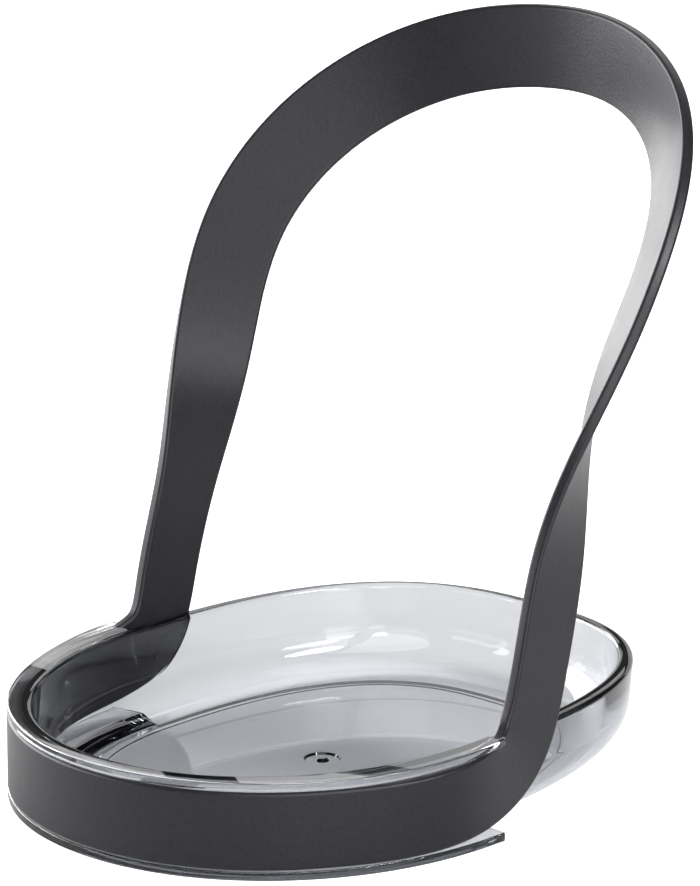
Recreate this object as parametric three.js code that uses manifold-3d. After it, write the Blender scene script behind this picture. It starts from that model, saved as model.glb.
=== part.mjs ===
// Hair dryer holder: a clear oval tray clipped into one closed flat band that rises behind it as an arch.
// Millimetres, +Z up. The front is at -Y, the arch leans back towards +Y, and the bench is z = 0.
import * as THREE from 'three';
import { mergeVertices } from 'three/addons/utils/BufferGeometryUtils.js';
import Module from 'manifold-3d';

const wasm = await Module();
wasm.setup();

// Driving sizes of the band
const BAND_HALF_WIDTH = 61.3;      // outer face, at the widest point of the front loop
const BAND_FRONT = 68.8;           // outer face, centre to front
const BAND_THICKNESS = 2.8;
const BASE_BAND_WIDTH = 17.6;      // band height where it wraps the tray
const ARCH_BAND_WIDTH = 19.6;      // band width at the crown
const BAND_EDGE_RADIUS = 0.8;
const LEG_TUCK = 4.2;              // centre line of each leg's foot, in from the front loop's outer face
const BELLY_HALF_GAP = 59.3;       // band centre line where the arch is widest
const CROWN_HEIGHT = 155;          // band centre line at the top
const CROWN_REACH = 93.3;          // band centre line at the top, behind the widest point

// Driving sizes of the tray
const TRAY_REAR = 85.4;            // outer wall, centre to rear
const REAR_WALL = 3.1;
const FLOOR = 2.2;
const LEDGE = 2.05;                // ledge under the band
const FLANGE = 2.05;               // flange over the band
const FLANGE_RISE = 1.5;           // how far the flange tips lift with the band
const FLANGE_TIP = 1.2;            // where the flange ends, along Y
const LEDGE_END = 0.6;             // where the ledge ends, along Y
const OUTER_BOTTOM_RADIUS = 13;
const FLOOR_FILLET = 10;
const WALL_DRAFT = 1.2;
const RIM_ROUND = 1.4;
const INNER_RIM_ROUND = 1.1;
const GROOVE_EDGE = 9.9;           // underside groove, in from the inner rim at the sides
const GROOVE_REAR = 68.6;          // underside groove, centre to rear
const GROOVE_WIDTH = 3;
const GROOVE_DEPTH = 0.9;
const GATE_MARK = 8.5;             // moulding gate mark, across
const GATE_CENTRE = 8;             // gate mark, along Y

// Clearances
const BAND_CLEARANCE = 0.15;       // band edge to ledge and flange
const FACE_CLEARANCE = 0.25;       // band face to the tray wall
const SIDE_CLEARANCE = 0.7;        // band face to the tray wall at the widest point

const FRONT_FULLNESS = 2.05;       // oval exponents: 2 is an ellipse
const REAR_FULLNESS = 2.6;

// Sizes that follow from the ones above
const LEG_HALF_GAP = BAND_HALF_WIDTH - LEG_TUCK;
const TRAY_HALF_WIDTH = BAND_HALF_WIDTH - BAND_THICKNESS - SIDE_CLEARANCE;
const TRAY_HEIGHT = LEDGE + BASE_BAND_WIDTH + FLANGE + 2 * BAND_CLEARANCE;

// A smooth oval: t runs from 0 at the front centre to PI at the rear centre, x is positive.
function ovalPoint(t, halfWidth, front, rear) {
  const c = Math.cos(t);
  const s = Math.sin(t);
  const n = c > 0 ? FRONT_FULLNESS : REAR_FULLNESS;
  const reach = c > 0 ? front : rear;
  const x = halfWidth * Math.abs(s) ** (2 / n);
  const y = -reach * Math.sign(c) * Math.abs(c) ** (2 / n);
  const nx = (x / halfWidth) ** (n - 1) / halfWidth;
  const ny = Math.sign(y) * (Math.abs(y) / reach) ** (n - 1) / reach;
  return { x, y, facing: Math.atan2(ny, nx) };
}

// C2 cubic through stations of any dimension, with given end slopes.
function smoothSpline(rows, startSlope, endSlope) {
  const size = rows[0].length;
  const gaps = rows.slice(1).map((row, i) => Math.hypot(...[0, 1, 2].map((k) => row[k] - rows[i][k])));
  const knots = gaps.reduce((list, gap) => [...list, list[list.length - 1] + gap], [0]);
  const slopes = rows.map(() => new Array(size).fill(0));
  slopes[0] = startSlope;
  slopes[rows.length - 1] = endSlope;
  for (let k = 0; k < size; k += 1) {
    const upper = [0];
    const right = [slopes[0][k]];
    for (let i = 1; i < rows.length - 1; i += 1) {
      const before = gaps[i - 1];
      const after = gaps[i];
      const rise = 3 * (after * (rows[i][k] - rows[i - 1][k]) / before
        + before * (rows[i + 1][k] - rows[i][k]) / after);
      const pivot = 2 * (before + after) - after * upper[i - 1];
      upper.push(before / pivot);
      right.push((rise - after * right[i - 1]) / pivot);
    }
    for (let i = rows.length - 2; i > 0; i -= 1) {
      slopes[i][k] = right[i] - upper[i] * slopes[i + 1][k];
    }
  }
  const length = knots[knots.length - 1];
  const at = (s) => {
    let i = 0;
    while (i < gaps.length - 1 && s > knots[i + 1]) i += 1;
    const h = gaps[i];
    const u = (s - knots[i]) / h;
    const value = [];
    const slope = [];
    for (let k = 0; k < size; k += 1) {
      const a = rows[i][k];
      const b = rows[i + 1][k];
      const ma = slopes[i][k] * h;
      const mb = slopes[i + 1][k] * h;
      value.push(a * (2 * u ** 3 - 3 * u ** 2 + 1) + b * (3 * u ** 2 - 2 * u ** 3)
        + ma * (u ** 3 - 2 * u ** 2 + u) + mb * (u ** 3 - u ** 2));
      slope.push((a * (6 * u ** 2 - 6 * u) + b * (6 * u - 6 * u ** 2)
        + ma * (3 * u ** 2 - 4 * u + 1) + mb * (3 * u ** 2 - 2 * u)) / h);
    }
    return { value, slope };
  };
  return { length, at };
}

const smoothstep = (u) => {
  const v = Math.min(1, Math.max(0, u));
  return v * v * (3 - 2 * v);
};

// Stations of the band's centre line, half of the loop: x, y, z and the way its outer face looks (degrees).
const baseHeight = LEDGE + BAND_CLEARANCE + BASE_BAND_WIDTH / 2;
const onLoop = (degrees) => {
  const p = ovalPoint(THREE.MathUtils.degToRad(degrees), BAND_HALF_WIDTH, BAND_FRONT, TRAY_REAR);
  const inset = BAND_THICKNESS / 2;
  return [
    degrees === 0 ? 0 : p.x - inset * Math.cos(p.facing),
    p.y - inset * Math.sin(p.facing),
    baseHeight,
    degrees === 0 ? -90 : THREE.MathUtils.radToDeg(p.facing),
  ];
};
const onArch = (across, back, up, facing) => [
  across * BELLY_HALF_GAP, back * CROWN_REACH, up * CROWN_HEIGHT, facing];
const bandStations = [
  onLoop(0),
  onLoop(20),
  onLoop(40),
  onLoop(58),
  [BAND_HALF_WIDTH - BAND_THICKNESS / 2, -12, baseHeight + 1, -5],
  [LEG_HALF_GAP + 0.1, 11, TRAY_HEIGHT - 2, 0],
  [LEG_HALF_GAP, 15.6, TRAY_HEIGHT + 10, 1.5],
  onArch(0.95, 0.245, 0.375, 6),
  onArch(0.96, 0.34, 0.555, 39),
  onArch(1, 0.48, 0.723, 57),
  onArch(0.904, 0.674, 0.858, 69),
  onArch(0.675, 0.837, 0.942, 79),
  onArch(0.354, 0.951, 0.988, 85),
  onArch(0, 1, 1, 90),
];
const bandPath = smoothSpline(bandStations, [1, 0, 0, 1.05], [-1, 0, 0, 0.25]);

// One closed band: a rounded rectangle carried round the loop, mirrored in X.
function bandGeometry(growFace, growEdge) {
  const HALF_STEPS = 92;
  const CORNER_STEPS = 3;
  const rings = [];
  for (let i = 0; i <= HALF_STEPS; i += 1) {
    const s = bandPath.length * i / HALF_STEPS;
    const { value, slope } = bandPath.at(s);
    const centre = new THREE.Vector3(value[0], value[1], value[2]);
    const along = new THREE.Vector3(slope[0], slope[1], slope[2]).normalize();
    const facing = THREE.MathUtils.degToRad(value[3]);
    const out = new THREE.Vector3(Math.cos(facing), Math.sin(facing), 0);
    out.addScaledVector(along, -out.dot(along)).normalize();
    const up = new THREE.Vector3().crossVectors(out, along).normalize();
    if (up.z < 0) up.negate();
    const swell = smoothstep((s / bandPath.length - 0.28) / 0.6);
    const width = BASE_BAND_WIDTH + (ARCH_BAND_WIDTH - BASE_BAND_WIDTH) * swell + 2 * growEdge;
    const halfT = BAND_THICKNESS / 2 + growFace;
    const r = BAND_EDGE_RADIUS;
    const ring = [];
    for (let corner = 0; corner < 4; corner += 1) {
      const sx = corner === 0 || corner === 3 ? 1 : -1;
      const sy = corner < 2 ? 1 : -1;
      for (let k = 0; k <= CORNER_STEPS; k += 1) {
        const a = (corner + k / CORNER_STEPS) * Math.PI / 2;
        const u = sx * (halfT - r) + r * Math.cos(a);
        const v = sy * (width / 2 - r) + r * Math.sin(a);
        ring.push(centre.clone().addScaledVector(out, u).addScaledVector(up, v));
      }
    }
    if (i === 0 || i === HALF_STEPS) ring.forEach((p) => p.setX(0));
    rings.push(ring);
  }
  for (let i = HALF_STEPS - 1; i > 0; i -= 1) {
    rings.push(rings[i].map((p) => new THREE.Vector3(-p.x, p.y, p.z)));
  }
  return closedRings(rings, true);
}

// Solid from rings of points: closed on itself, or capped by a fan at both ends.
function closedRings(rings, looped) {
  const positions = [];
  const index = [];
  const count = rings[0].length;
  rings.forEach((ring) => ring.forEach((p) => positions.push(p.x, p.y, p.z)));
  const last = looped ? rings.length : rings.length - 1;
  for (let i = 0; i < last; i += 1) {
    const a = i * count;
    const b = ((i + 1) % rings.length) * count;
    for (let j = 0; j < count; j += 1) {
      const k = (j + 1) % count;
      index.push(a + j, b + j, b + k, a + j, b + k, a + k);
    }
  }
  if (!looped) {
    [0, rings.length - 1].forEach((i) => {
      const middle = rings[i].reduce((sum, p) => sum.add(p), new THREE.Vector3()).divideScalar(count);
      const tip = positions.length / 3;
      positions.push(middle.x, middle.y, middle.z);
      for (let j = 0; j < count; j += 1) {
        const a = i * count + j;
        const b = i * count + (j + 1) % count;
        if (i === 0) index.push(tip, a, b);
        else index.push(tip, b, a);
      }
    });
  }
  const geometry = new THREE.BufferGeometry();
  geometry.setAttribute('position', new THREE.Float32BufferAttribute(positions, 3));
  geometry.setIndex(signedVolume(positions, index) < 0 ? flipped(index) : index);
  return geometry;
}

function signedVolume(positions, index) {
  const at = (i) => new THREE.Vector3(positions[3 * i], positions[3 * i + 1], positions[3 * i + 2]);
  let sum = 0;
  for (let i = 0; i < index.length; i += 3) {
    sum += at(index[i]).dot(at(index[i + 1]).cross(at(index[i + 2]))) / 6;
  }
  return sum;
}

function flipped(index) {
  const turned = [];
  for (let i = 0; i < index.length; i += 3) turned.push(index[i], index[i + 2], index[i + 1]);
  return turned;
}

// A stack of ovals: each level is [height, inset].
function ovalStack(levels, halfWidth, front, rear) {
  const HALF_POINTS = 56;
  return closedRings(levels.map(([z, inset]) => {
    const half = [];
    for (let i = 0; i <= HALF_POINTS; i += 1) {
      const p = ovalPoint(Math.PI * i / HALF_POINTS, halfWidth - inset, front - inset, rear - inset);
      half.push(new THREE.Vector3(i === 0 || i === HALF_POINTS ? 0 : p.x, p.y, z));
    }
    const other = half.slice(1, -1).reverse().map((p) => new THREE.Vector3(-p.x, p.y, p.z));
    return [...half, ...other];
  }), false);
}

// Levels of a rounded corner, from angle a0 to a1 in degrees round (centre inset, centre height).
function roundLevels(centreInset, centreHeight, radius, a0, a1, steps) {
  const levels = [];
  for (let i = 0; i <= steps; i += 1) {
    const a = THREE.MathUtils.degToRad(a0 + (a1 - a0) * i / steps);
    levels.push([centreHeight + radius * Math.sin(a), centreInset - radius * Math.cos(a)]);
  }
  return levels;
}

const solid = (geometry) => {
  const clean = geometry.clone();
  clean.deleteAttribute('normal');
  clean.deleteAttribute('uv');
  const merged = mergeVertices(clean, 1e-4);
  const mesh = new wasm.Mesh({
    numProp: 3,
    vertProperties: new Float32Array(merged.attributes.position.array),
    triVerts: new Uint32Array(merged.index.array),
  });
  return new wasm.Manifold(mesh);
};

const toGeometry = (manifold) => {
  const mesh = manifold.getMesh();
  const geometry = new THREE.BufferGeometry();
  const positions = [];
  for (let i = 0; i < mesh.numVert; i += 1) {
    for (let k = 0; k < 3; k += 1) positions.push(mesh.vertProperties[i * mesh.numProp + k]);
  }
  geometry.setAttribute('position', new THREE.Float32BufferAttribute(positions, 3));
  geometry.setIndex(Array.from(mesh.triVerts));
  geometry.computeVertexNormals();
  return geometry;
};

// The turn at which the band's outer oval reaches a place along Y.
function turnAt(y) {
  return y < 0
    ? Math.acos((-y / BAND_FRONT) ** (FRONT_FULLNESS / 2))
    : Math.PI / 2 + Math.asin((y / TRAY_REAR) ** (REAR_FULLNESS / 2));
}

// Flange over the band: a strip carried round the front, its outer edge lifting towards the tips.
function flangeGeometry() {
  const STEPS = 96;
  const EDGE = 0.5;
  const tipAngle = turnAt(FLANGE_TIP);
  const underside = TRAY_HEIGHT - FLANGE;
  const rings = [];
  for (let i = 0; i <= STEPS; i += 1) {
    const t = tipAngle * (2 * i / STEPS - 1);
    const side = t < 0 ? -1 : 1;
    const outer = ovalPoint(Math.abs(t), BAND_HALF_WIDTH, BAND_FRONT, TRAY_REAR);
    const inner = ovalPoint(Math.abs(t), innerHalfWidth, innerFront, innerRear);
    const lift = FLANGE_RISE * Math.max(0, (outer.y + 42) / 42) ** 1.5;
    const tuck = 0.7 * Math.max(0, (outer.y + 12) / 12) ** 2;
    const from = new THREE.Vector3(side * inner.x, inner.y, 0);
    const to = new THREE.Vector3(side * (outer.x - tuck), outer.y, 0);
    const width = from.distanceTo(to);
    const across = to.clone().sub(from).divideScalar(width);
    const place = (d, z) => from.clone().addScaledVector(across, d).setZ(z + lift * Math.max(0, d) / width);
    rings.push([
      place(-1, underside),
      place(0.3, underside),
      place(width - EDGE, underside),
      place(width, underside + EDGE),
      place(width, TRAY_HEIGHT - EDGE),
      place(width - EDGE, TRAY_HEIGHT),
      place(0.3, TRAY_HEIGHT),
      place(-1, TRAY_HEIGHT),
    ]);
  }
  return closedRings(rings, false);
}

// Ledge under the band: a flat plate with the front oval's outline, cut off square at the sides.
function ledgeGeometry() {
  const POINTS = 96;
  const CORNER = 1.2;
  const outline = new THREE.Shape();
  const tipAngle = turnAt(LEDGE_END - CORNER);
  for (let i = 0; i <= POINTS; i += 1) {
    const t = tipAngle * (2 * i / POINTS - 1);
    const p = ovalPoint(Math.abs(t), BAND_HALF_WIDTH + 0.2, BAND_FRONT, TRAY_REAR);
    const x = t < 0 ? -p.x : p.x;
    if (i === 0) outline.moveTo(x, p.y);
    else outline.lineTo(x, p.y);
  }
  outline.lineTo(BAND_HALF_WIDTH - CORNER, LEDGE_END);
  outline.lineTo(-BAND_HALF_WIDTH + CORNER, LEDGE_END);
  outline.closePath();
  return new THREE.ExtrudeGeometry(outline, {
    depth: LEDGE - 0.6, bevelEnabled: true, bevelThickness: 0.3, bevelSize: 0.3, bevelOffset: -0.3,
    bevelSegments: 2, curveSegments: 1,
  }).translate(0, 0, 0.3);
}

const innerHalfWidth = LEG_HALF_GAP - BAND_THICKNESS / 2 - FACE_CLEARANCE - 1.1;
const wallFront = BAND_FRONT - BAND_THICKNESS - FACE_CLEARANCE - 0.1;
const innerFront = wallFront - 1.2;
const innerRear = TRAY_REAR - REAR_WALL;

const bodySolid = solid(ovalStack([
  ...roundLevels(OUTER_BOTTOM_RADIUS + 0.5, OUTER_BOTTOM_RADIUS, OUTER_BOTTOM_RADIUS, -90, 0, 6),
  ...roundLevels(RIM_ROUND, TRAY_HEIGHT - RIM_ROUND, RIM_ROUND, 0, 90, 3),
], TRAY_HALF_WIDTH, wallFront, TRAY_REAR));
const cavitySolid = solid(ovalStack([
  ...roundLevels(WALL_DRAFT + FLOOR_FILLET, FLOOR + FLOOR_FILLET, FLOOR_FILLET, -90, 0, 8),
  ...roundLevels(-INNER_RIM_ROUND + 0.1, TRAY_HEIGHT - INNER_RIM_ROUND, -INNER_RIM_ROUND, 0, -86, 4),
  [TRAY_HEIGHT + 4, -INNER_RIM_ROUND + 0.1],
], innerHalfWidth, innerFront, innerRear));
const pocketSolid = solid(bandGeometry(FACE_CLEARANCE, BAND_CLEARANCE - 0.02));
const gateMark = solid(new THREE.CylinderGeometry(GATE_MARK / 2, GATE_MARK / 2 - 0.4, 0.5, 40)
  .rotateX(Math.PI / 2).translate(0, GATE_CENTRE, FLOOR));
const gateNib = solid(new THREE.CylinderGeometry(0.7, 0.9, 0.6, 20)
  .rotateX(Math.PI / 2).translate(0, GATE_CENTRE, FLOOR));

const grooveHalfWidth = innerHalfWidth - GROOVE_EDGE;
const grooveFront = innerFront - GROOVE_EDGE - 1.9;
const grooveSolid = solid(ovalStack([[-1, 0], [0, 0], [GROOVE_DEPTH, 0.25]],
  grooveHalfWidth, grooveFront, GROOVE_REAR))
  .subtract(solid(ovalStack([
    [-2, GROOVE_WIDTH], [0, GROOVE_WIDTH], [GROOVE_DEPTH + 1, GROOVE_WIDTH - 0.25],
  ], grooveHalfWidth, grooveFront, GROOVE_REAR)));

const traySolid = bodySolid
  .add(solid(flangeGeometry()))
  .add(solid(ledgeGeometry()))
  .subtract(cavitySolid)
  .subtract(pocketSolid)
  .subtract(grooveSolid)
  .subtract(gateMark)
  .add(gateNib);

const gunmetal = new THREE.MeshStandardMaterial({ color: 0x45454a, roughness: 0.5, metalness: 0.35 });
const smokeClear = new THREE.MeshStandardMaterial({
  color: 0xb9bdc4, roughness: 0.08, metalness: 0, transparent: true, opacity: 0.4,
});

const loopBand = new THREE.Mesh(bandGeometry(0, 0), gunmetal);
loopBand.name = 'loop_band';
loopBand.geometry.computeVertexNormals();

const tray = new THREE.Mesh(toGeometry(traySolid), smokeClear);
tray.name = 'tray';

const holder = new THREE.Group();
holder.name = 'hair_dryer_holder';
holder.add(loopBand, tray);

export default holder;
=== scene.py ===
"""Hair dryer holder: a clear smoke tray clipped into one closed flat band that rises behind it as an arch.

Sizes are written in millimetres and become metres where a vertex is placed. Lamps and bench are placed in
metres. The front is at -Y, +Z is up.
"""
import math

import bmesh
import bpy
from mathutils import Matrix, Vector


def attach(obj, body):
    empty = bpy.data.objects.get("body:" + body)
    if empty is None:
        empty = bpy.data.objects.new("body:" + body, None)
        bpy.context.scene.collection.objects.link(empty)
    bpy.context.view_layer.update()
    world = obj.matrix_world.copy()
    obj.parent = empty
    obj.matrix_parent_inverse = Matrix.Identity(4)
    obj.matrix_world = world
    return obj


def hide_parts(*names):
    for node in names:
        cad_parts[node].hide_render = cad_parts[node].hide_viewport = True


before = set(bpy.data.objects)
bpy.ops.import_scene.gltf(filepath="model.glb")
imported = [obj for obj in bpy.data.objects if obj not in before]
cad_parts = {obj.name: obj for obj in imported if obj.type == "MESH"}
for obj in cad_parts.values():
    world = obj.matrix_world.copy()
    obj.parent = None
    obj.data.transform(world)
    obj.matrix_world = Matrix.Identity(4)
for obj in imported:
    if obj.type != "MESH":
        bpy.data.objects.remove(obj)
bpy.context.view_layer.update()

MM = 0.001

# The band
BAND_HALF_WIDTH = 61.3
BAND_FRONT = 68.8
BAND_THICKNESS = 2.8
BASE_BAND_WIDTH = 17.6
ARCH_BAND_WIDTH = 19.6
BAND_EDGE_RADIUS = 0.8
LEG_TUCK = 4.2
LEG_HALF_GAP = BAND_HALF_WIDTH - LEG_TUCK
BELLY_HALF_GAP = 59.3
CROWN_HEIGHT = 155
CROWN_REACH = 93.3

# Where the band starts to widen and how long it takes, as shares of its half length
SWELL_START = 0.28
SWELL_LENGTH = 0.6

# Gaps between the band and the tray: at its edges, its inner face and its legs. The pocket is cut a
# margin short of the ledge and the flange, so that it leaves their faces whole
BAND_CLEARANCE = 0.15
FACE_CLEARANCE = 0.25
SIDE_CLEARANCE = 0.7
POCKET_MARGIN = 0.02

# The tray; its inner rim's round ends at an angle in degrees
TRAY_REAR = 85.4
TRAY_HALF_WIDTH = BAND_HALF_WIDTH - BAND_THICKNESS - SIDE_CLEARANCE
REAR_WALL = 3.1
FRONT_WALL = 1.2
SIDE_WALL = 1.1
WALL_SETBACK = 0.1
FLOOR = 2.2
LEDGE = 2.05
FLANGE = 2.05
TRAY_HEIGHT = LEDGE + BASE_BAND_WIDTH + FLANGE + 2 * BAND_CLEARANCE
OUTER_BOTTOM_RADIUS = 13
FLAT_BOTTOM_INSET = 0.5
FLOOR_FILLET = 10
FLAT_FLOOR_INSET = 0.6
WALL_DRAFT = 1.2
RIM_ROUND = 1.4
INNER_RIM_ROUND = 1.1
INNER_RIM_INSET = 0.1
INNER_RIM_END = -86

# The flange over the band, which lifts and tucks in towards its tips
FLANGE_RISE = 1.5
FLANGE_RISE_LENGTH = 42
FLANGE_RISE_POWER = 1.5
FLANGE_TUCK = 0.7
FLANGE_TUCK_LENGTH = 12
FLANGE_TIP = 1.2
FLANGE_ROOT = 1
FLANGE_EDGE_RADIUS = 0.5

# The ledge under the band
LEDGE_END = 0.6
LEDGE_REACH = 0.2
LEDGE_CORNER_RADIUS = 1.2
LEDGE_EDGE_RADIUS = 0.35

# How full the plan's oval is; 2 is an ellipse
FRONT_FULLNESS = 2.05
REAR_FULLNESS = 2.6

# The wall's outer face at the front, and its inner face
WALL_FRONT = BAND_FRONT - BAND_THICKNESS - FACE_CLEARANCE - WALL_SETBACK
INNER_HALF_WIDTH = LEG_HALF_GAP - BAND_THICKNESS / 2 - FACE_CLEARANCE - SIDE_WALL
INNER_FRONT = WALL_FRONT - FRONT_WALL
INNER_REAR = TRAY_REAR - REAR_WALL

# The groove round the underside
GROOVE_EDGE = 9.9
GROOVE_FRONT_EDGE = 1.9
GROOVE_HALF_WIDTH = INNER_HALF_WIDTH - GROOVE_EDGE
GROOVE_FRONT = INNER_FRONT - GROOVE_EDGE - GROOVE_FRONT_EDGE
GROOVE_REAR = 68.6
GROOVE_WIDTH = 3
GROOVE_DEPTH = 0.9
GROOVE_DRAFT = 0.25

# The gate mark in the floor: a shallow recess with a nib left standing in it
GATE_CENTRE = 8
GATE_TOP_RADIUS = 4.3
GATE_BOTTOM_RADIUS = 3.85
GATE_DEPTH = 0.55
GATE_OVERCUT = 0.15
NIB_ROOT_RADIUS = 1.7
NIB_TIP_RADIUS = 0.9
NIB_ROOT_DEPTH = 0.6
NIB_HEIGHT = 0.2

# How finely the curves are stepped
BAND_STEPS = 300
BAND_CORNER_STEPS = 5
POCKET_STEPS = 200
POCKET_CORNER_STEPS = 3
OVAL_STEPS = 264
BOTTOM_STEPS = 16
FILLET_STEPS = 20
RIM_STEPS = 6
FLANGE_STEPS = 220
FLANGE_EDGE_STEPS = 4
LEDGE_CORNER_STEPS = 6
LEDGE_EDGE_STEPS = 4
GATE_STEPS = 64
NIB_STEPS = 32

# Edges that turn by more than this, in degrees, are rounded or drawn crisp
FLANGE_TURN = 40
LEDGE_CORNER_TURN = 40
LEDGE_EDGE_TURN = 60
BAND_SHARP_TURN = 60
TRAY_SHARP_TURN = 28

# Vertices closer than this, in metres, become one vertex
SAME_PLACE = 2e-7
# Edges shorter than this, in metres, are dropped
NO_LENGTH = 1e-7


# ---------------------------------------------------------------- shapes

def oval_point(turn, half_width, front, rear):
    """A point of the oval plan, from 0 at the front to pi at the back, and the way its edge looks there."""
    c, s = math.cos(turn), math.sin(turn)
    fullness = FRONT_FULLNESS if c > 0 else REAR_FULLNESS
    reach = front if c > 0 else rear
    x = half_width * abs(s) ** (2 / fullness) * (1 if s >= 0 else -1)
    y = -reach * math.copysign(abs(c) ** (2 / fullness), c)
    nx = math.copysign((abs(x) / half_width) ** (fullness - 1) / half_width, x)
    ny = math.copysign((abs(y) / reach) ** (fullness - 1) / reach, y)
    return x, y, math.atan2(ny, nx)


def smooth_curve(rows, start_slope, end_slope):
    """A smooth curve through rows of four numbers, the first three a place: its length and its reader."""
    gaps = [math.dist(a[:3], b[:3]) for a, b in zip(rows, rows[1:])]
    knots = [0.0]
    for gap in gaps:
        knots.append(knots[-1] + gap)
    slopes = [[0.0] * 4 for _ in rows]
    slopes[0], slopes[-1] = list(start_slope), list(end_slope)
    for k in range(4):
        upper, right = [0.0], [slopes[0][k]]
        for i in range(1, len(rows) - 1):
            before, after = gaps[i - 1], gaps[i]
            rise = 3 * (after * (rows[i][k] - rows[i - 1][k]) / before
                        + before * (rows[i + 1][k] - rows[i][k]) / after)
            pivot = 2 * (before + after) - after * upper[-1]
            upper.append(before / pivot)
            right.append((rise - after * right[-1]) / pivot)
        for i in range(len(rows) - 2, 0, -1):
            slopes[i][k] = right[i] - upper[i] * slopes[i + 1][k]

    def at(s):
        i = 0
        while i < len(gaps) - 1 and s > knots[i + 1]:
            i += 1
        h = gaps[i]
        u = (s - knots[i]) / h
        value, slope = [], []
        for k in range(4):
            a, b, ma, mb = rows[i][k], rows[i + 1][k], slopes[i][k] * h, slopes[i + 1][k] * h
            value.append(a * (2 * u**3 - 3 * u**2 + 1) + b * (3 * u**2 - 2 * u**3)
                         + ma * (u**3 - 2 * u**2 + u) + mb * (u**3 - u**2))
            slope.append((a * (6 * u**2 - 6 * u) + b * (6 * u - 6 * u**2)
                          + ma * (3 * u**2 - 4 * u + 1) + mb * (3 * u**2 - 2 * u)) / h)
        return value, slope

    return knots[-1], at


def smooth_step(u):
    """Eases from 0 to 1 as u does."""
    v = min(1.0, max(0.0, u))
    return v * v * (3 - 2 * v)


def band_curve():
    """The centre line of half of the band, from the middle of the front to the crown."""
    base = LEDGE + BAND_CLEARANCE + BASE_BAND_WIDTH / 2

    def on_loop(degrees):
        """On the oval round the tray's front, degrees from the middle."""
        x, y, facing = oval_point(math.radians(degrees), BAND_HALF_WIDTH, BAND_FRONT, TRAY_REAR)
        inset = BAND_THICKNESS / 2
        if degrees == 0:
            return [0, y + inset, base, -90]
        return [x - inset * math.cos(facing), y - inset * math.sin(facing), base, math.degrees(facing)]

    def on_arch(across, back, up, facing):
        """On the arch, as shares of its belly, reach and height, with the way it faces in degrees."""
        return [across * BELLY_HALF_GAP, back * CROWN_REACH, up * CROWN_HEIGHT, facing]

    # Across, back and up, with the way the band faces in degrees
    rows = [
        on_loop(0),
        on_loop(20),
        on_loop(40),
        on_loop(58),
        [BAND_HALF_WIDTH - BAND_THICKNESS / 2, -12, base + 1, -5],
        [LEG_HALF_GAP + 0.1, 11, TRAY_HEIGHT - 2, 0],
        [LEG_HALF_GAP, 15.6, TRAY_HEIGHT + 10, 1.5],
        on_arch(0.95, 0.245, 0.375, 6),
        on_arch(0.96, 0.34, 0.555, 39),
        on_arch(1, 0.48, 0.723, 57),
        on_arch(0.904, 0.674, 0.858, 69),
        on_arch(0.675, 0.837, 0.942, 79),
        on_arch(0.354, 0.951, 0.988, 85),
        on_arch(0, 1, 1, 90),
    ]
    front_slope = [1, 0, 0, 1.05]
    crown_slope = [-1, 0, 0, 0.25]
    return smooth_curve(rows, front_slope, crown_slope)


BAND_LENGTH, band_at = band_curve()


def band_station(share):
    """Centre, outward way, upward way and width of the band at a share of its half length.

    A share below 0 is on the left half.
    """
    value, slope = band_at(BAND_LENGTH * abs(share))
    along = Vector(slope[:3]).normalized()
    facing = math.radians(value[3])
    out = Vector((math.cos(facing), math.sin(facing), 0))
    out = (out - along * out.dot(along)).normalized()
    up = out.cross(along).normalized()
    if up.z < 0:
        up.negate()
    swell = smooth_step((abs(share) - SWELL_START) / SWELL_LENGTH)
    width = BASE_BAND_WIDTH + (ARCH_BAND_WIDTH - BASE_BAND_WIDTH) * swell
    centre = Vector(value[:3])
    if share < 0:
        for v in (centre, out, up):
            v.x = -v.x
    return centre, out, up, width


def grow_ring(mesh, edges, place):
    """Extrudes a ring of edges once and puts each new vertex where place says."""
    new = bmesh.ops.extrude_edge_only(mesh, edges=edges)["geom"]
    for v in (g for g in new if isinstance(g, bmesh.types.BMVert)):
        v.co = place(v)
    return [g for g in new if isinstance(g, bmesh.types.BMEdge) and g.is_boundary]


def into_object(mesh, name):
    """Turns the faces outwards and makes an object of the mesh."""
    bmesh.ops.recalc_face_normals(mesh, faces=mesh.faces)
    if mesh.calc_volume(signed=True) < 0:
        bmesh.ops.reverse_faces(mesh, faces=mesh.faces)
    data = bpy.data.meshes.new(name)
    mesh.to_mesh(data)
    mesh.free()
    piece = bpy.data.objects.new(name, data)
    bpy.context.scene.collection.objects.link(piece)
    return piece


def band_solid(name, grow_face, grow_edge, steps, corner_steps):
    """The strip's rounded section, grown on its faces and edges, carried once round the whole loop."""
    mesh = bmesh.new()
    bmesh.ops.create_grid(mesh, x_segments=1, y_segments=1, size=0.5)
    section = (BAND_THICKNESS + 2 * grow_face, BASE_BAND_WIDTH + 2 * grow_edge, 1)
    bmesh.ops.scale(mesh, vec=section, verts=mesh.verts)
    bmesh.ops.bevel(mesh, geom=mesh.verts[:], affect="VERTICES", offset=BAND_EDGE_RADIUS,
                    segments=corner_steps, profile=0.5, material=-1)
    bmesh.ops.delete(mesh, geom=mesh.faces[:], context="FACES_ONLY")
    thick = mesh.verts.layers.float.new("thick")
    wide = mesh.verts.layers.float.new("wide")
    for v in mesh.verts:
        v[thick], v[wide] = v.co.x, v.co.y

    def placer(share):
        centre, out, up, width = band_station(share)

        def place(v):
            spread = math.copysign((width - BASE_BAND_WIDTH) / 2, v[wide])
            return (centre + out * v[thick] + up * (v[wide] + spread)) * MM

        return place

    first = mesh.edges[:]
    start = placer(-1 + 1 / steps)
    for v in mesh.verts:
        v.co = start(v)
    ring = first
    for i in range(2, 2 * steps + 1):
        ring = grow_ring(mesh, ring, placer(-1 + i / steps))
    bmesh.ops.bridge_loops(mesh, edges=first + ring)
    return into_object(mesh, name)


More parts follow.
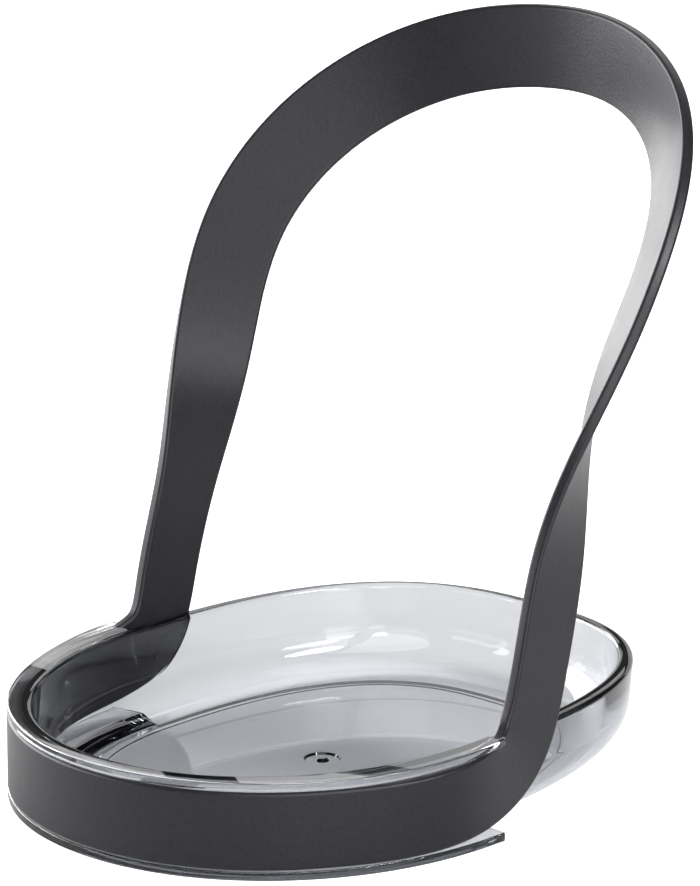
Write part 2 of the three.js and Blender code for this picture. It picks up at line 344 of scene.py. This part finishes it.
def oval_solid(name, levels, half_width, front, rear):
    """A stack of ovals, each level a height and an inset, closed at both ends."""
    mesh = bmesh.new()
    bmesh.ops.create_circle(mesh, cap_ends=False, segments=OVAL_STEPS, radius=1)
    turn = mesh.verts.layers.float.new("turn")
    for v in mesh.verts:
        v[turn] = math.atan2(v.co.x, v.co.y)

    def placer(level):
        height, inset = level

        def place(v):
            x, y, _ = oval_point(v[turn], half_width - inset, front - inset, rear - inset)
            return Vector((x, y, height)) * MM

        return place

    start = placer(levels[0])
    for v in mesh.verts:
        v.co = start(v)
    ring = mesh.edges[:]
    for level in levels[1:]:
        ring = grow_ring(mesh, ring, placer(level))
    bmesh.ops.holes_fill(mesh, edges=[e for e in mesh.edges if e.is_boundary], sides=0)
    return into_object(mesh, name)


def round_levels(centre_inset, centre_height, radius, start, end, steps):
    """Levels of a rounded corner, angles in degrees round its centre."""
    levels = []
    for i in range(steps + 1):
        a = math.radians(start + (end - start) * i / steps)
        levels.append((centre_height + radius * math.sin(a), centre_inset - radius * math.cos(a)))
    return levels


def flange_solid(name):
    """The lip over the band: a strip carried round the front, its outer edge lifting towards the tips."""
    tip = math.pi / 2 + math.asin((FLANGE_TIP / TRAY_REAR) ** (REAR_FULLNESS / 2))
    mesh = bmesh.new()
    bmesh.ops.create_grid(mesh, x_segments=1, y_segments=1, size=0.5)
    bmesh.ops.delete(mesh, geom=mesh.faces[:], context="FACES_ONLY")
    outer_side = mesh.verts.layers.float.new("outer_side")
    upper_side = mesh.verts.layers.float.new("upper_side")
    for v in mesh.verts:
        v[outer_side], v[upper_side] = v.co.x + 0.5, v.co.y + 0.5

    def placer(turn):
        x, y, _ = oval_point(abs(turn), BAND_HALF_WIDTH, BAND_FRONT, TRAY_REAR)
        ix, iy, _ = oval_point(abs(turn), INNER_HALF_WIDTH, INNER_FRONT, INNER_REAR)
        lift = FLANGE_RISE * max(0, (y + FLANGE_RISE_LENGTH) / FLANGE_RISE_LENGTH) ** FLANGE_RISE_POWER
        tuck = FLANGE_TUCK * max(0, (y + FLANGE_TUCK_LENGTH) / FLANGE_TUCK_LENGTH) ** 2
        side = -1 if turn < 0 else 1
        inner = Vector((side * ix, iy, 0))
        outer = Vector((side * (x - tuck), y, 0))
        across = (outer - inner).normalized()
        width = (outer - inner).length

        def place(v):
            d = width if v[outer_side] > 0.5 else -FLANGE_ROOT
            z = TRAY_HEIGHT - FLANGE * (1 - v[upper_side]) + lift * max(0, d) / width
            return (inner + across * d + Vector((0, 0, z))) * MM

        return place

    start = placer(-tip)
    for v in mesh.verts:
        v.co = start(v)
    ring = mesh.edges[:]
    for i in range(1, FLANGE_STEPS + 1):
        ring = grow_ring(mesh, ring, placer(tip * (2 * i / FLANGE_STEPS - 1)))
    bmesh.ops.holes_fill(mesh, edges=[e for e in mesh.edges if e.is_boundary], sides=0)
    bmesh.ops.recalc_face_normals(mesh, faces=mesh.faces)
    edge = [e for e in mesh.edges
            if e.verts[0][outer_side] > 0.5 and e.verts[1][outer_side] > 0.5
            and e.calc_face_angle(0) > math.radians(FLANGE_TURN)]
    bmesh.ops.bevel(mesh, geom=edge, affect="EDGES", offset=FLANGE_EDGE_RADIUS * MM,
                    segments=FLANGE_EDGE_STEPS, profile=0.5, material=-1, clamp_overlap=True)
    return into_object(mesh, name)


def ledge_solid(name):
    """The plate under the band: the front oval's outline, cut off square at the sides."""
    mesh = bmesh.new()
    bmesh.ops.create_circle(mesh, cap_ends=True, segments=OVAL_STEPS, radius=1)
    for v in mesh.verts:
        turn = math.atan2(v.co.x, v.co.y)
        x, y, _ = oval_point(turn, BAND_HALF_WIDTH + LEDGE_REACH, BAND_FRONT, TRAY_REAR)
        v.co = Vector((x, y, 0)) * MM
    everything = mesh.verts[:] + mesh.edges[:] + mesh.faces[:]
    bmesh.ops.bisect_plane(mesh, geom=everything, dist=NO_LENGTH, plane_co=(0, LEDGE_END * MM, 0),
                           plane_no=(0, 1, 0), clear_outer=True)
    grown = bmesh.ops.extrude_face_region(mesh, geom=mesh.faces[:])["geom"]
    top = [g for g in grown if isinstance(g, bmesh.types.BMVert)]
    bmesh.ops.translate(mesh, vec=(0, 0, LEDGE * MM), verts=top)
    bmesh.ops.recalc_face_normals(mesh, faces=mesh.faces)

    def sharp_edges(upright, degrees):
        found = []
        for e in mesh.edges:
            stands = abs(e.verts[0].co.z - e.verts[1].co.z) > LEDGE * MM / 2
            if stands == upright and e.calc_face_angle(0) > math.radians(degrees):
                found.append(e)
        return found

    bmesh.ops.bevel(mesh, geom=sharp_edges(True, LEDGE_CORNER_TURN), affect="EDGES",
                    offset=LEDGE_CORNER_RADIUS * MM, segments=LEDGE_CORNER_STEPS, profile=0.5, material=-1)
    bmesh.ops.bevel(mesh, geom=sharp_edges(False, LEDGE_EDGE_TURN), affect="EDGES",
                    offset=LEDGE_EDGE_RADIUS * MM, segments=LEDGE_EDGE_STEPS, profile=0.5, material=-1)
    return into_object(mesh, name)


def gate_disc(name, low_radius, high_radius, low, high, steps):
    """A tapered disc on the gate mark's centre, from one height to another."""
    mesh = bmesh.new()
    bmesh.ops.create_cone(mesh, cap_ends=True, segments=steps, radius1=low_radius * MM,
                          radius2=high_radius * MM, depth=(high - low) * MM)
    bmesh.ops.translate(mesh, vec=Vector((0, GATE_CENTRE, (low + high) / 2)) * MM, verts=mesh.verts)
    return into_object(mesh, name)


def combine(target, tool, operation):
    """Joins or cuts with a tool solid, which is then removed. This solver leaves no open edges."""
    modifier = target.modifiers.new(operation, "BOOLEAN")
    modifier.operation = operation
    modifier.solver = "MANIFOLD"
    modifier.object = tool
    made = bpy.data.meshes.new_from_object(target.evaluated_get(bpy.context.evaluated_depsgraph_get()))
    target.modifiers.clear()
    target.data = made
    bpy.data.objects.remove(tool)


def clear_tray():
    """The dish with its flange, ledge, pocket for the band, groove and gate mark, as one moulding."""
    tray = oval_solid("smoke_clear_tray", [
        *round_levels(OUTER_BOTTOM_RADIUS + FLAT_BOTTOM_INSET, OUTER_BOTTOM_RADIUS, OUTER_BOTTOM_RADIUS,
                      -90, 0, BOTTOM_STEPS),
        *round_levels(RIM_ROUND, TRAY_HEIGHT - RIM_ROUND, RIM_ROUND, 0, 90, RIM_STEPS),
    ], TRAY_HALF_WIDTH, WALL_FRONT, TRAY_REAR)

    above_rim = TRAY_HEIGHT + 4
    rim_inset = -INNER_RIM_ROUND + INNER_RIM_INSET
    cavity = oval_solid("cavity", [
        (FLOOR, WALL_DRAFT + FLOOR_FILLET + FLAT_FLOOR_INSET),
        *round_levels(WALL_DRAFT + FLOOR_FILLET, FLOOR + FLOOR_FILLET, FLOOR_FILLET, -90, 0, FILLET_STEPS),
        *round_levels(rim_inset, TRAY_HEIGHT - INNER_RIM_ROUND, -INNER_RIM_ROUND,
                      0, INNER_RIM_END, RIM_STEPS),
        (above_rim, rim_inset),
    ], INNER_HALF_WIDTH, INNER_FRONT, INNER_REAR)

    pocket = band_solid("pocket", FACE_CLEARANCE, BAND_CLEARANCE - POCKET_MARGIN,
                        POCKET_STEPS, POCKET_CORNER_STEPS)
    combine(tray, flange_solid("flange"), "UNION")
    combine(tray, ledge_solid("ledge"), "UNION")
    combine(tray, cavity, "DIFFERENCE")
    combine(tray, pocket, "DIFFERENCE")

    below_base = -1
    groove = oval_solid("groove", [
        (below_base, 0),
        (0, 0),
        (GROOVE_DEPTH, GROOVE_DRAFT),
    ], GROOVE_HALF_WIDTH, GROOVE_FRONT, GROOVE_REAR)
    core = oval_solid("core", [
        (2 * below_base, GROOVE_WIDTH),
        (0, GROOVE_WIDTH),
        (GROOVE_DEPTH + 1, GROOVE_WIDTH - GROOVE_DRAFT),
    ], GROOVE_HALF_WIDTH, GROOVE_FRONT, GROOVE_REAR)
    combine(groove, core, "DIFFERENCE")
    combine(tray, groove, "DIFFERENCE")

    recess = gate_disc("gate_recess", GATE_BOTTOM_RADIUS, GATE_TOP_RADIUS,
                       FLOOR - GATE_DEPTH, FLOOR + GATE_OVERCUT, GATE_STEPS)
    nib = gate_disc("gate_nib", NIB_ROOT_RADIUS, NIB_TIP_RADIUS,
                    FLOOR - NIB_ROOT_DEPTH, FLOOR + NIB_HEIGHT, NIB_STEPS)
    combine(tray, recess, "DIFFERENCE")
    combine(tray, nib, "UNION")
    return tray


def finish_shading(piece, sharp_degrees):
    """Smooth faces with crisp edges where the surface turns sharply, and normals led by the large faces."""
    mesh = bmesh.new()
    mesh.from_mesh(piece.data)
    bmesh.ops.remove_doubles(mesh, verts=mesh.verts, dist=SAME_PLACE)
    bmesh.ops.dissolve_degenerate(mesh, edges=mesh.edges, dist=NO_LENGTH)
    for face in mesh.faces:
        face.smooth = True
    for edge in mesh.edges:
        edge.smooth = edge.calc_face_angle(0) < math.radians(sharp_degrees)
    mesh.to_mesh(piece.data)
    mesh.free()
    weighted = piece.modifiers.new("weighted", "WEIGHTED_NORMAL")
    weighted.mode = "FACE_AREA_WITH_ANGLE"
    weighted.keep_sharp = True


# ---------------------------------------------------------------- finishes

# The band's coating: a fine mottle of two dark tones, uneven gloss and a fine grain
COATING_DARK = (0.0044, 0.0041, 0.0058, 1)
COATING_LIGHT = (0.0100, 0.0094, 0.0125, 1)
COATING_DARK_END = 0.3
COATING_LIGHT_END = 0.75
COATING_MOTTLE_SCALE = 1300.0
COATING_CLOUD_SCALE = 140.0
COATING_SMOOTHEST = 0.35
COATING_DULLEST = 0.43
COATING_GRAIN = 0.5
COATING_GRAIN_DEPTH = 0.0001
COATING_GLOSS = 0.35
COATING_GLOSS_TINT = (0.965, 0.95, 1.0, 1)

# The tray's plastic: a light tint at the surface, more of it in the depth, and a trace of haze
SMOKE_SURFACE = (0.80, 0.805, 0.815, 1)
SMOKE_DEPTH = (0.24, 0.27, 0.325, 1)
SMOKE_DENSITY = 95.0
SMOKE_SHADOW = (0.86, 0.863, 0.868, 1)
SMOKE_IOR = 1.5
SMOKE_HAZE_SCALE = 60.0
SMOKE_SMOOTHEST = 0.0
SMOKE_DULLEST = 0.03

# The bench looks whiter to the camera than the light it throws on the piece
BENCH_COLOUR = (0.8, 0.8, 0.8, 1)
BENCH_ROUGHNESS = 0.9
BENCH_GLOSS = 0.1
BENCH_GLOW = 0.75


def node(tree, kind, **values):
    """A shader node with its settings or its inputs set by name."""
    made = tree.nodes.new(kind)
    for key, value in values.items():
        if hasattr(made, key):
            setattr(made, key, value)
        else:
            made.inputs[key.replace("_", " ").title()].default_value = value
    return made


def new_material(name):
    material = bpy.data.materials.new(name)
    material.use_nodes = True
    shader = material.node_tree.nodes["Principled BSDF"]
    return material, material.node_tree, shader


def uneven_gloss(tree, place, shader, scale, smoothest, dullest):
    """Roughness that drifts between two values in soft clouds."""
    cloud = node(tree, "ShaderNodeTexNoise", Scale=scale, Detail=2.0, Roughness=0.5)
    tree.links.new(place, cloud.inputs["Vector"])
    dull = node(tree, "ShaderNodeMapRange", To_Min=smoothest, To_Max=dullest)
    tree.links.new(cloud.outputs["Fac"], dull.inputs["Value"])
    tree.links.new(dull.outputs["Result"], shader.inputs["Roughness"])


def gunmetal_coating():
    material, tree, shader = new_material("gunmetal_coating")
    link = tree.links.new
    place = node(tree, "ShaderNodeTexCoord").outputs["Object"]

    mottle = node(tree, "ShaderNodeTexNoise", Scale=COATING_MOTTLE_SCALE, Detail=3.0, Roughness=0.6)
    link(place, mottle.inputs["Vector"])
    tone = node(tree, "ShaderNodeValToRGB")
    dark, light = tone.color_ramp.elements
    dark.position = COATING_DARK_END
    dark.color = COATING_DARK
    light.position = COATING_LIGHT_END
    light.color = COATING_LIGHT
    link(mottle.outputs["Fac"], tone.inputs["Fac"])
    link(tone.outputs["Color"], shader.inputs["Base Color"])

    uneven_gloss(tree, place, shader, COATING_CLOUD_SCALE, COATING_SMOOTHEST, COATING_DULLEST)

    bump = node(tree, "ShaderNodeBump", Strength=COATING_GRAIN, Distance=COATING_GRAIN_DEPTH)
    link(mottle.outputs["Fac"], bump.inputs["Height"])
    link(bump.outputs["Normal"], shader.inputs["Normal"])
    shader.inputs["Specular IOR Level"].default_value = COATING_GLOSS
    shader.inputs["Specular Tint"].default_value = COATING_GLOSS_TINT
    return material


def smoke_clear_plastic():
    material, tree, shader = new_material("smoke_clear_plastic")
    link = tree.links.new
    output = tree.nodes["Material Output"]
    place = node(tree, "ShaderNodeTexCoord").outputs["Object"]

    shader.inputs["Base Color"].default_value = SMOKE_SURFACE
    shader.inputs["Transmission Weight"].default_value = 1.0
    shader.inputs["IOR"].default_value = SMOKE_IOR
    uneven_gloss(tree, place, shader, SMOKE_HAZE_SCALE, SMOKE_SMOOTHEST, SMOKE_DULLEST)

    depth = node(tree, "ShaderNodeVolumeAbsorption", Color=SMOKE_DEPTH, Density=SMOKE_DENSITY)
    link(depth.outputs["Volume"], output.inputs["Volume"])

    # Lamps shine straight through the walls, so the plastic throws a pale shadow
    shadow = node(tree, "ShaderNodeLightPath").outputs["Is Shadow Ray"]
    pale = node(tree, "ShaderNodeBsdfTransparent", Color=SMOKE_SHADOW)
    mix = node(tree, "ShaderNodeMixShader")
    link(shadow, mix.inputs["Fac"])
    link(shader.outputs["BSDF"], mix.inputs[1])
    link(pale.outputs["BSDF"], mix.inputs[2])
    link(mix.outputs["Shader"], output.inputs["Surface"])
    return material


def camera_glow(tree, socket, extra, fill):
    """Sets a strength to a fill that lights the piece, with an extra glow that only the camera sees."""
    to_camera = node(tree, "ShaderNodeLightPath").outputs["Is Camera Ray"]
    strength = node(tree, "ShaderNodeMath", operation="MULTIPLY_ADD")
    strength.inputs[1].default_value = extra
    strength.inputs[2].default_value = fill
    tree.links.new(to_camera, strength.inputs[0])
    tree.links.new(strength.outputs[0], socket)


def bench_white():
    material, tree, shader = new_material("bench_white")
    shader.inputs["Base Color"].default_value = BENCH_COLOUR
    shader.inputs["Roughness"].default_value = BENCH_ROUGHNESS
    shader.inputs["Specular IOR Level"].default_value = BENCH_GLOSS
    shader.inputs["Emission Color"].default_value = (1, 1, 1, 1)
    camera_glow(tree, shader.inputs["Emission Strength"], BENCH_GLOW, 0.0)
    return material


def dress(piece, material):
    """Gives a piece its one material."""
    piece.data.materials.clear()
    piece.data.materials.append(material)


# ---------------------------------------------------------------- camera, bench and lights

# Angles in radians, sizes in millimetres
CAMERA_TURN = 0.735514818
CAMERA_RISE = 0.272414442
CAMERA_ROLL = -0.004713429
CAMERA_DISTANCE = 1014.12277
CAMERA_LENS = 181.15
CAMERA_ASIDE = (-11.3713186, -75.7943636)
SENSOR_WIDTH = 36

# In metres
NEAR_LIMIT = 0.05
FAR_LIMIT = 50
BENCH_HALF_WIDTH = 4
BENCH_GAP = 0.0002

# The world's strength: what only the camera sees, and what lights the piece
WORLD_GLOW = 0.85
WORLD_FILL = 0.1


def place_camera():
    """The camera, turned round the piece, risen above the bench, rolled and set aside."""
    a, e, r = CAMERA_TURN, CAMERA_RISE, CAMERA_ROLL
    back = Vector((math.sin(a) * math.cos(e), -math.cos(a) * math.cos(e), math.sin(e)))
    right = Vector((math.cos(a), math.sin(a), 0))
    up = back.cross(right)
    place = (back * CAMERA_DISTANCE - right * CAMERA_ASIDE[0] - up * CAMERA_ASIDE[1]) * MM
    x_axis = right * math.cos(r) - up * math.sin(r)
    y_axis = right * math.sin(r) + up * math.cos(r)
    data = bpy.data.cameras.new("camera")
    data.sensor_width = SENSOR_WIDTH
    data.lens = CAMERA_LENS
    data.clip_start = NEAR_LIMIT
    data.clip_end = FAR_LIMIT
    camera = bpy.data.objects.new("camera", data)
    bpy.context.scene.collection.objects.link(camera)
    turn = Matrix((x_axis, y_axis, back)).transposed()
    camera.matrix_world = Matrix.Translation(place) @ turn.to_4x4()
    bpy.context.scene.camera = camera


def softbox(name, place, target, size, power, shape="RECTANGLE"):
    """An area lamp at a place, turned to a target; metres and watts."""
    data = bpy.data.lights.new(name, "AREA")
    data.shape = shape
    data.size, data.size_y = size
    data.energy = power
    lamp = bpy.data.objects.new(name, data)
    bpy.context.scene.collection.objects.link(lamp)
    way = Vector(target) - Vector(place)
    lamp.matrix_world = Matrix.Translation(place) @ way.to_track_quat("-Z", "Y").to_matrix().to_4x4()


def set_lamps():
    """The lamps round the bench, the strongest on the left, where the arch and the plastic mirror it."""
    softbox("overhead", place=(0, 0.2, 1.4), target=(0, 0, 0), size=(1.2, 1.2), power=3)
    softbox("left_wall", place=(-1.3, -0.05, 0.42), target=(0, 0.05, 0.08), size=(1.6, 0.8), power=33)
    softbox("left_low", place=(-1.35, 0.35, 0.14), target=(0, 0.05, 0.10), size=(1.4, 0.26), power=0.8)
    softbox("left_front", place=(-1.0, -0.9, 0.35), target=(0, 0, 0.08), size=(0.8, 0.6), power=8)
    softbox("key_dish", place=(0.81, 0.12, 0.72), target=(-0.04, 0.057, 0.006), size=(0.44, 0.20), power=6,
            shape="ELLIPSE")
    softbox("over_camera", place=(0.74, -0.46, 0.72), target=(0, 0.03, 0.09), size=(1.5, 1.2), power=9.6,
            shape="ELLIPSE")
    softbox("back_left_high", place=(-0.75, 1.0, 0.86), target=(0, 0, 0), size=(1.8, 0.7), power=6)
    softbox("back_sweep", place=(-1.3, 1.8, 1.3), target=(-1.3, 1.7, 0), size=(2.0, 1.4), power=3)
    softbox("back_wall", place=(-1.35, 1.5, 0.34), target=(0, 0, 0.05), size=(3.4, 0.62), power=6)
    softbox("right_side", place=(1.3, -0.55, 0.22), target=(0, 0, 0.08), size=(0.9, 0.5), power=7)
    softbox("front_left_low", place=(-0.35, -1.3, 0.2), target=(0, 0, 0.04), size=(0.8, 0.3), power=1.5)


def studio():
    """A white bench under a white world, and the lamps."""
    mesh = bmesh.new()
    bmesh.ops.create_grid(mesh, x_segments=8, y_segments=8, size=BENCH_HALF_WIDTH)
    bench = into_object(mesh, "bench")
    bench.location.z = -BENCH_GAP
    dress(bench, bench_white())

    world = bpy.data.worlds.new("studio")
    bpy.context.scene.world = world
    world.use_nodes = True
    background = world.node_tree.nodes["Background"]
    background.inputs["Color"].default_value = (1, 1, 1, 1)
    camera_glow(world.node_tree, background.inputs["Strength"], WORLD_GLOW, WORLD_FILL)
    bpy.context.scene.view_settings.view_transform = "Standard"
    set_lamps()


# ---------------------------------------------------------------- assembly

place_camera()
studio()

band = band_solid("gunmetal_band", 0, 0, BAND_STEPS, BAND_CORNER_STEPS)
finish_shading(band, BAND_SHARP_TURN)
dress(band, gunmetal_coating())
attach(band, "root")
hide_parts("loop_band")

tray = clear_tray()
finish_shading(tray, TRAY_SHARP_TURN)
dress(tray, smoke_clear_plastic())
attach(tray, "root")
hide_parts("tray")
